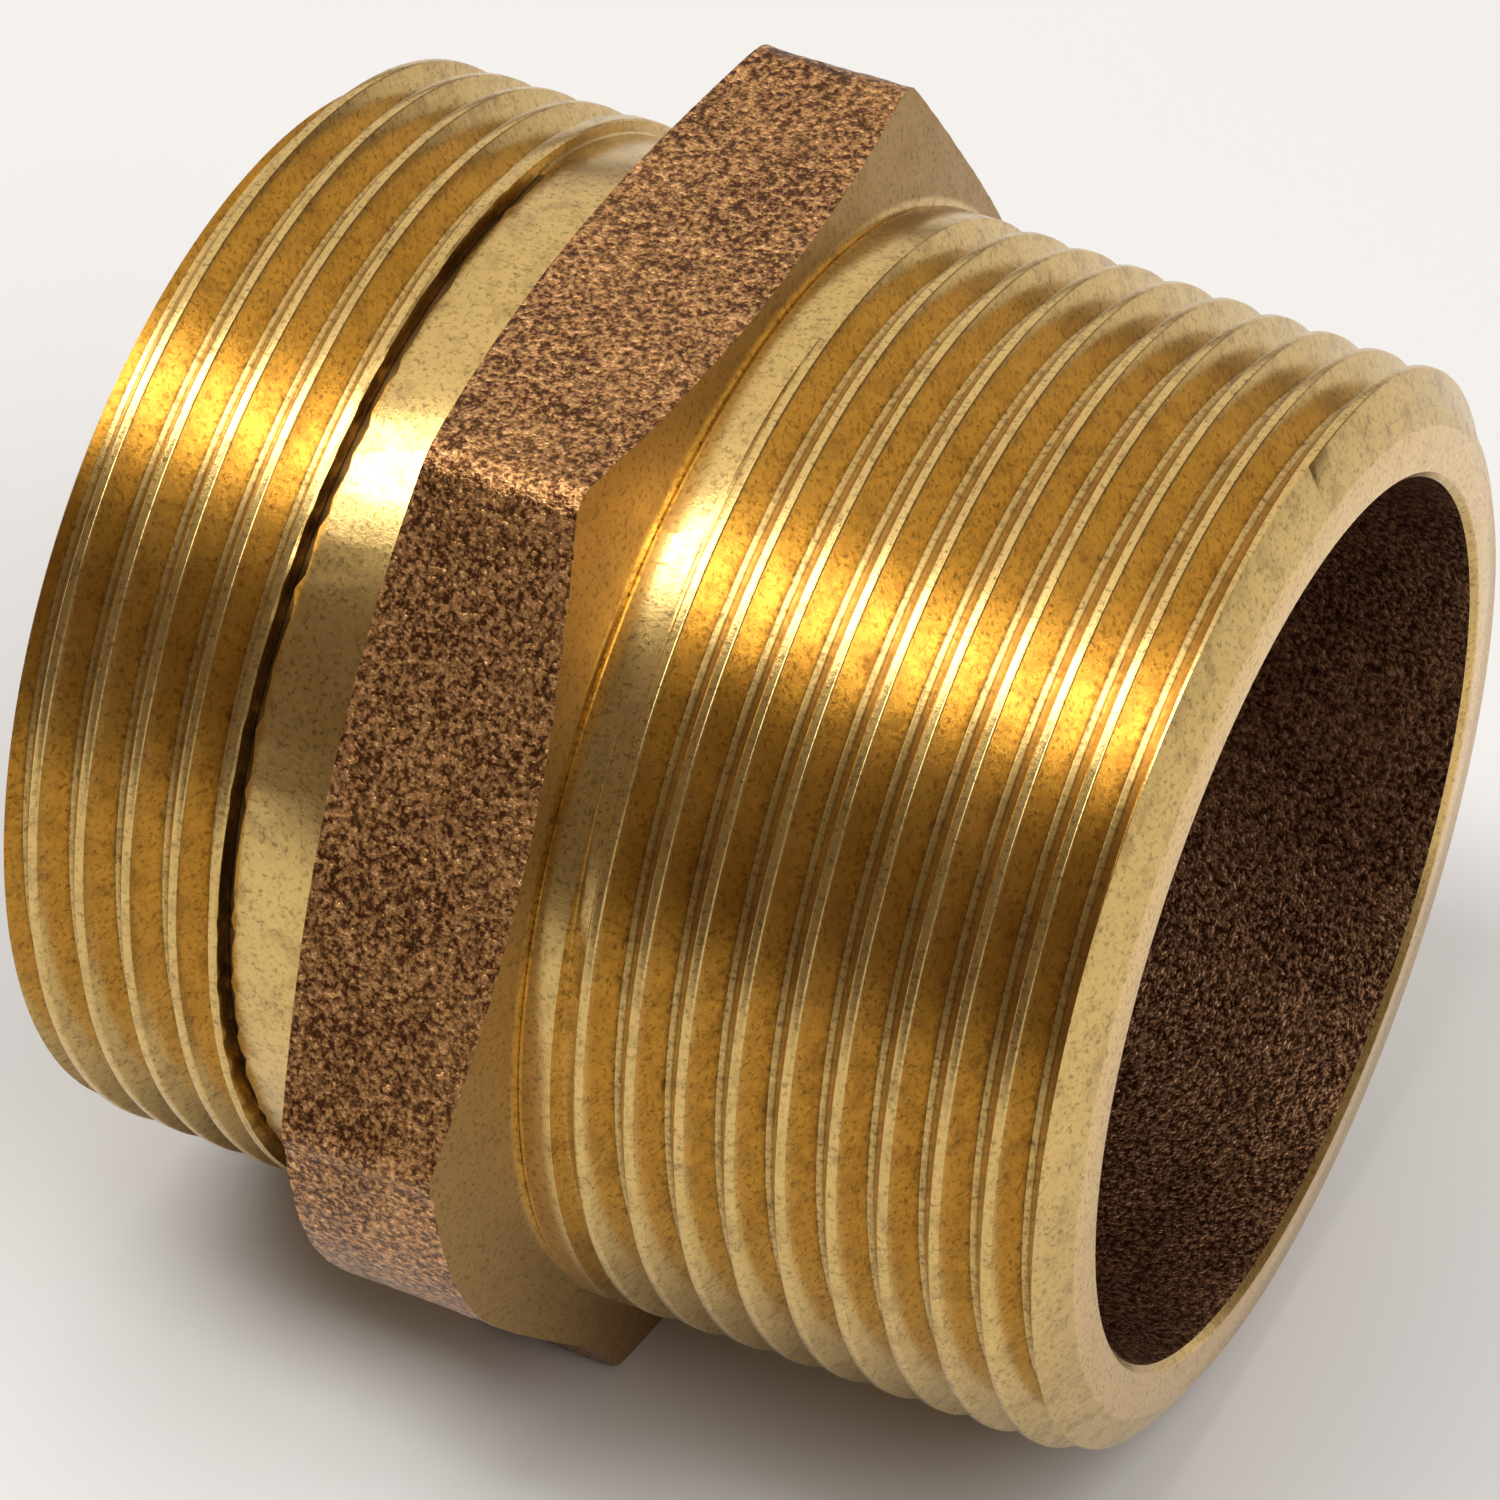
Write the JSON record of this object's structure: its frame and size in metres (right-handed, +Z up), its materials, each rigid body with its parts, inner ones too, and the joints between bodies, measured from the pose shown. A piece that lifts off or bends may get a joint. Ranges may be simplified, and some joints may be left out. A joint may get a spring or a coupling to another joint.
{
  "type": "hex nipple",
  "caption": "Short bronze hexagon nipple: a hollow fitting with an external pipe thread at each end and a spanner hexagon between them.",
  "frame": {"origin": "on the bore axis, halfway between the two end faces", "axes": "+X along the bore towards the end with the longer, tapered thread; +Z up out of the upper flat of the hexagon; +Y level, across the hexagon's corners"},
  "size_m": [0.0486, 0.0582, 0.0504],
  "materials": {
    "bronze": "machined ends and rough as-cast hexagon and bore"
  },
  "bodies": {
    "root": {"nipple_body": "bronze"}
  },
  "joints": []
}
